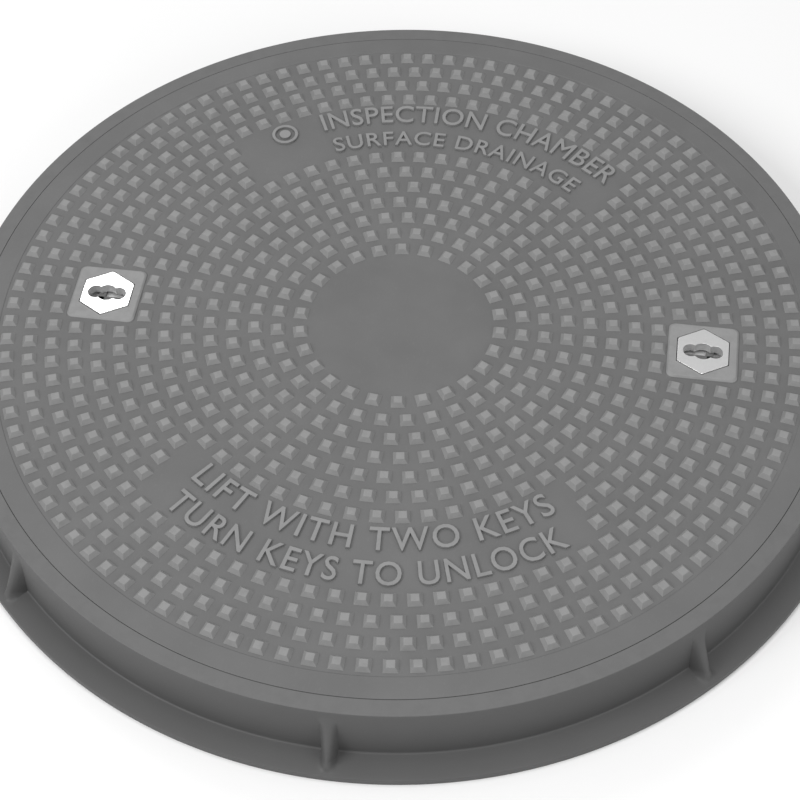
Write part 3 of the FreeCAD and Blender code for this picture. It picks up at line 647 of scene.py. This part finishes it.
def ramp(tree, factor, stops):
    """A colour ramp from (position, hex colour or grey level) stops."""
    node = add(tree, "ValToRGB", links={"Fac": factor})
    elements = node.color_ramp.elements
    while len(elements) < len(stops):
        elements.new(0.5)
    for element, (position, colour) in zip(elements, stops):
        element.position = position
        element.color = linear(colour) if isinstance(colour, str) else (colour, colour, colour, 1)
    return node.outputs["Color"]


def noise(tree, where, size, detail=3, roughness=0.5, stretch=(1, 1, 1)):
    """Noise whose features are about the size given, in metres."""
    mapping = add(tree, "Mapping", {"Scale": stretch}, {"Vector": where})
    node = add(tree, "TexNoise", {"Scale": 1 / size, "Detail": detail, "Roughness": roughness},
               {"Vector": mapping.outputs["Vector"]})
    return node.outputs["Fac"]


def mix(tree, factor, first, second):
    """Mix two colours; each is a socket or a linear RGBA.

    The Mix node names its sockets alike for every data type, so colours go by index.
    """
    node = add(tree, "Mix", {"data_type": "RGBA"})
    for index, value in ((0, factor), (6, first), (7, second)):
        if isinstance(value, bpy.types.NodeSocket):
            tree.links.new(value, node.inputs[index])
        else:
            node.inputs[index].default_value = value
    return node.outputs[2]


def moulded_composite(name, floor, pale_tone_and_lit_top, height_from, height_to):
    """SMC composite: glass-filled polyester sheet, hot pressed in a blasted steel mould.

    A matt grey skin with faint flow clouds and short pale fibre flecks and a fine blasted grain.
    Everything above a given height is painted paler, in blotches: painted light on raised tops,
    while the lower field keeps the darker grey as painted shade between them. The blasted grain is
    about 0.2 mm and the fibre bundles about 0.5 mm wide: both are drawn coarser, to show.
    """
    material, tree, shader, where = new_finish(name)
    clouds = noise(tree, where, 60 * MM, 4, 0.55)
    flecks = noise(tree, where, 1.6 * MM, 2, 0.6, (1, 0.35, 1))
    grain = noise(tree, where, 0.9 * MM, 3, 0.6)
    base = mix(tree, ramp(tree, clouds, [(0.35, 0.0), (0.7, 0.12)]), linear(floor), linear(pale_tone_and_lit_top))
    flecked = mix(tree, ramp(tree, flecks, [(0.6, 0.0), (0.8, 0.1)]), base, linear(pale_tone_and_lit_top))
    split = add(tree, "SeparateXYZ", links={"Vector": where})
    # painted light: above height_from the colour turns to the paler one, in blotches; it stands for
    # light on raised tops, the darker field below for painted shade
    lifted = add(tree, "MapRange", {"From Min": height_from, "From Max": height_to},
                 {"Value": split.outputs["Z"]}).outputs["Result"]
    patchy = noise(tree, where, 9 * MM, 3, 0.6)
    lit_top_mask = add(tree, "Math", {"operation": "MULTIPLY"}, {0: lifted})
    tree.links.new(ramp(tree, patchy, [(0.25, 0.7), (0.6, 1.0)]), lit_top_mask.inputs[1])
    coloured = mix(tree, lit_top_mask.outputs["Value"], flecked, linear(pale_tone_and_lit_top))
    tree.links.new(coloured, shader.inputs["Base Color"])
    rough = add(tree, "MapRange", {"To Min": 0.52, "To Max": 0.66}, {"Value": grain})
    tree.links.new(rough.outputs["Result"], shader.inputs["Roughness"])
    bump = add(tree, "Bump", {"Strength": 0.22, "Distance": 0.12 * MM}, {"Height": grain})
    waves = add(tree, "Bump", {"Strength": 0.15, "Distance": 0.8 * MM},
                {"Height": clouds, "Normal": bump.outputs["Normal"]})
    tree.links.new(waves.outputs["Normal"], shader.inputs["Normal"])
    shader.inputs["IOR"].default_value = 1.52
    return material


def cast_stainless():
    """Stainless steel, investment cast and then faced.

    The faced top is satin and mirrors the light, the cast skin inside the keyway stays dull and
    pale. The facing marks are about 0.1 mm apart: they are drawn coarser, to show.
    """
    material, tree, shader, where = new_finish("cast_and_faced_stainless")
    brushed = noise(tree, where, 0.7 * MM, 2, 0.5, (1, 0.04, 1))
    stains = noise(tree, where, 7 * MM, 4, 0.6)
    colour = mix(tree, ramp(tree, stains, [(0.35, 0.0), (0.75, 1.0)]), linear("#e4e4e4"),
                 linear("#dbdbdb"))
    tree.links.new(colour, shader.inputs["Base Color"])
    split = add(tree, "SeparateXYZ", links={"Vector": where})
    faced = add(tree, "MapRange", {"From Min": HEAD_TOP - 0.8 * MM, "From Max": HEAD_TOP - 0.3 * MM,
                                   "To Min": 0.62, "To Max": 0.27},
                {"Value": split.outputs["Z"]}).outputs["Result"]
    uneven = add(tree, "MapRange", {"To Min": 0, "To Max": 0.09}, {"Value": stains})
    rough = add(tree, "Math", {"operation": "ADD"}, {0: faced, 1: uneven.outputs["Result"]})
    tree.links.new(rough.outputs["Value"], shader.inputs["Roughness"])
    bump = add(tree, "Bump", {"Strength": 0.25, "Distance": 0.05 * MM}, {"Height": brushed})
    tree.links.new(bump.outputs["Normal"], shader.inputs["Normal"])
    shader.inputs["Metallic"].default_value = 1
    return material


def zinc_steel():
    """Zinc-plated steel, barrel plated: pale, slightly mottled grey with a soft shine."""
    material, tree, shader, where = new_finish("zinc_plated_steel")
    mottle = noise(tree, where, 2.5 * MM, 4, 0.65)
    colour = mix(tree, ramp(tree, mottle, [(0.35, 0.0), (0.7, 1.0)]), linear("#b9bcbd"),
                 linear("#8f9394"))
    tree.links.new(colour, shader.inputs["Base Color"])
    rough = add(tree, "MapRange", {"To Min": 0.3, "To Max": 0.5}, {"Value": mottle})
    tree.links.new(rough.outputs["Result"], shader.inputs["Roughness"])
    bump = add(tree, "Bump", {"Strength": 0.2, "Distance": 0.05 * MM}, {"Height": mottle})
    tree.links.new(bump.outputs["Normal"], shader.inputs["Normal"])
    shader.inputs["Metallic"].default_value = 1
    return material


def turned_bronze():
    """Bearing bronze, turned: warm and satin, with fine rings round its axis.

    The rings are about 0.15 mm apart: they are drawn coarser, to show.
    """
    material, tree, shader, where = new_finish("turned_bearing_bronze")
    rings = noise(tree, where, 0.6 * MM, 2, 0.5, (0.05, 0.05, 1))
    tarnish = noise(tree, where, 5 * MM, 4, 0.6)
    colour = mix(tree, ramp(tree, tarnish, [(0.35, 0.0), (0.7, 1.0)]), linear("#b98d55"),
                 linear("#7d5f3a"))
    tree.links.new(colour, shader.inputs["Base Color"])
    rough = add(tree, "MapRange", {"To Min": 0.3, "To Max": 0.5}, {"Value": tarnish})
    tree.links.new(rough.outputs["Result"], shader.inputs["Roughness"])
    bump = add(tree, "Bump", {"Strength": 0.2, "Distance": 0.05 * MM}, {"Height": rings})
    tree.links.new(bump.outputs["Normal"], shader.inputs["Normal"])
    shader.inputs["Metallic"].default_value = 1
    return material


def epdm_rubber():
    """EPDM rubber, extruded and joined or moulded: near black, dull, with a dusty bloom.

    The skin's grain is about 0.2 mm: it is drawn coarser, to show.
    """
    material, tree, shader, where = new_finish("epdm_rubber")
    bloom = noise(tree, where, 12 * MM, 4, 0.6)
    skin = noise(tree, where, 0.8 * MM, 2, 0.5)
    colour = mix(tree, ramp(tree, bloom, [(0.4, 0.0), (0.8, 1.0)]), linear("#1b1b1b"),
                 linear("#323231"))
    tree.links.new(colour, shader.inputs["Base Color"])
    rough = add(tree, "MapRange", {"To Min": 0.6, "To Max": 0.8}, {"Value": skin})
    tree.links.new(rough.outputs["Result"], shader.inputs["Roughness"])
    bump = add(tree, "Bump", {"Strength": 0.2, "Distance": 0.05 * MM}, {"Height": skin})
    tree.links.new(bump.outputs["Normal"], shader.inputs["Normal"])
    shader.inputs["IOR"].default_value = 1.5
    return material


# ---------------------------------------------------------------- put it together
# painted light: the cover's raised pads, and the whole of the studs, words and roundel, are painted
# paler than the sunk field, whose darker grey is painted shade between them
COVER_COMPOSITE = moulded_composite("pressed_smc_composite_cover", "#5a5a5a", "#838383",
                                    FIELD + 0.52 * MM, FIELD + 0.62 * MM)
TREAD_COMPOSITE = moulded_composite("pressed_smc_composite_tread", "#5a5a5a", "#808080",
                                    FIELD, FIELD + 0.1 * MM)
# painted shade: the frame is a darker copy of the same composite; its top face is painted paler, a
# painted highlight
SHADED_FRAME_COMPOSITE = moulded_composite("pressed_smc_composite_frame_painted_shade", "#4d4d4d", "#5e5e5e",
                                    RIM_TOP - 0.7 * MM, RIM_TOP)
STAINLESS = cast_stainless()
ZINC = zinc_steel()
BRONZE = turned_bronze()
RUBBER = epdm_rubber()

new_piece("cover_moulding", join(cover_disc(), cover_ribs(), key_seats()), "cover",
          COVER_COMPOSITE, ["cover_plate"])
new_piece("tread_studs", tread(), "cover", TREAD_COMPOSITE)

WORDS = (  # words, height, radius, arc in degrees, letter spacing, tops inward
    ("INSPECTION CHAMBER", 20.5 * MM, 232 * MM, (49.5, 115), 1.05, False),
    ("SURFACE DRAINAGE", 16.5 * MM, 203 * MM, (53, 114), 1.1, False),
    ("LIFT WITH TWO KEYS", 20.5 * MM, 204 * MM, (-128, -50), 1.1, True),
    ("TURN KEYS TO UNLOCK", 20.5 * MM, 233 * MM, (-127, -52), 1.1, True),
)
lettering = join(*[raised_words(*line) for line in WORDS],
                 plain_roundel(math.radians(123), 232 * MM, 22 * MM))
new_piece("raised_words", lettering, "cover", TREAD_COMPOSITE)

new_piece("frame_moulding", frame_ring(), "frame", SHADED_FRAME_COMPOSITE,
          ["frame_ring"])

gasket = frame["nodes"]["seat_gasket"]
gasket.data.materials.clear()
gasket.data.materials.append(RUBBER)

SMALL_PARTS = (  # node, rounding, slot, finish
    ("keyhole_insert", 0.35 * MM, "stainless", STAINLESS),
    ("insert_seal", 0.2 * MM, "rubber", RUBBER),
    ("stop_plate", 0.4 * MM, "stainless", ZINC),
    ("ring_washer", 0.2 * MM, "stainless", ZINC),
    ("ring_nut", 0.4 * MM, "stainless", ZINC),
    ("spindle_bush", 0.3 * MM, "brass", BRONZE),
    ("wave_washer", 0.2 * MM, "stainless", ZINC),
    ("lock_spindle", 0.3 * MM, "stainless", STAINLESS),
    ("spindle_o_ring", 0, "rubber", RUBBER),
    ("lock_cam", 0.5 * MM, "stainless", ZINC),
    ("cam_washer", 0.2 * MM, "stainless", ZINC),
    ("cam_nut", 0.4 * MM, "stainless", ZINC),
)
for part_name, rounding, slot_name, finish in SMALL_PARTS:
    for side in ("left", "right"):
        node_name = "%s_%s" % (part_name, side)
        if rounding:
            softened_twin(node_name, rounding, finish)
        else:
            cad_mesh = frame["nodes"][node_name].data
            cad_mesh.materials.clear()
            cad_mesh.materials.append(finish)


# ---------------------------------------------------------------- floor, light and camera
FLOOR_HALF = 6
SURROUND = 0.55
LIGHTS = (  # name, place, target, size in metres, watts
    ("key", (-1.6, -1.4, 1.9), (0, 0, 0.05), (1.2, 1.2), 38),
    ("overhead", (0.2, 0.1, 2.5), (0, 0, 0.05), (2.0, 1.2), 22),
    ("back_left", (-1.05, 1.85, 2.25), (-0.23, 0, 0.06), (0.7, 0.6), 9),
    ("fill", (1.7, -1.2, 1.2), (0, 0, 0.05), (1.0, 1.0), 8),
)
CAMERA_PLACE = Vector((0.149, -0.926, 1.156))
CAMERA_TARGET = Vector((0.011, -0.078, 0.060))
CAMERA_ROLL = math.radians(-1.42)
LENS_MM = 83.5


def pale_floor():
    """A wide matt white floor."""
    bm = bmesh.new()
    bmesh.ops.create_grid(bm, x_segments=1, y_segments=1, size=FLOOR_HALF)
    mesh = bpy.data.meshes.new("floor")
    bm.to_mesh(mesh)
    bm.free()
    floor = bpy.data.objects.new("floor", mesh)
    bpy.context.scene.collection.objects.link(floor)
    material, tree, shader, where = new_finish("pale_studio_floor")
    tint = ramp(tree, noise(tree, where, 0.5, 2), [(0.3, "#e7e7e7"), (0.7, "#eaeaea")])
    tree.links.new(tint, shader.inputs["Base Color"])
    shader.inputs["Roughness"].default_value = 0.9
    mesh.materials.append(material)


def soft_light(name, place, target, size, power):
    """A rectangular area light, aimed at a point."""
    lamp = bpy.data.lights.new(name, "AREA")
    lamp.shape = "RECTANGLE"
    lamp.size, lamp.size_y = size
    lamp.energy = power
    holder = bpy.data.objects.new(name, lamp)
    bpy.context.scene.collection.objects.link(holder)
    holder.location = place
    holder.rotation_euler = (Vector(target) - Vector(place)).to_track_quat("-Z", "Y").to_euler()


def studio():
    """Pale surround, a broad key light from the front left, and three weaker lights."""
    world = bpy.data.worlds.new("studio")
    bpy.context.scene.world = world
    world.use_nodes = True
    background = world.node_tree.nodes["Background"]
    background.inputs["Color"].default_value = (1, 1, 1, 1)
    background.inputs["Strength"].default_value = SURROUND
    for light in LIGHTS:
        soft_light(*light)


def camera():
    """Long lens, from the front and about 50 degrees up, tilted a little to the right."""
    lens = bpy.data.cameras.new("camera")
    lens.lens = LENS_MM
    lens.sensor_width = 36
    lens.clip_start = 0.05
    holder = bpy.data.objects.new("camera", lens)
    bpy.context.scene.collection.objects.link(holder)
    aim = (CAMERA_TARGET - CAMERA_PLACE).to_track_quat("-Z", "Y").to_matrix().to_4x4()
    roll = Matrix.Rotation(CAMERA_ROLL, 4, "Z")
    holder.matrix_world = Matrix.Translation(CAMERA_PLACE) @ aim @ roll
    bpy.context.scene.camera = holder


pale_floor()
studio()
camera()
bpy.context.scene.view_settings.view_transform = "Standard"

bpy.context.view_layer.update()
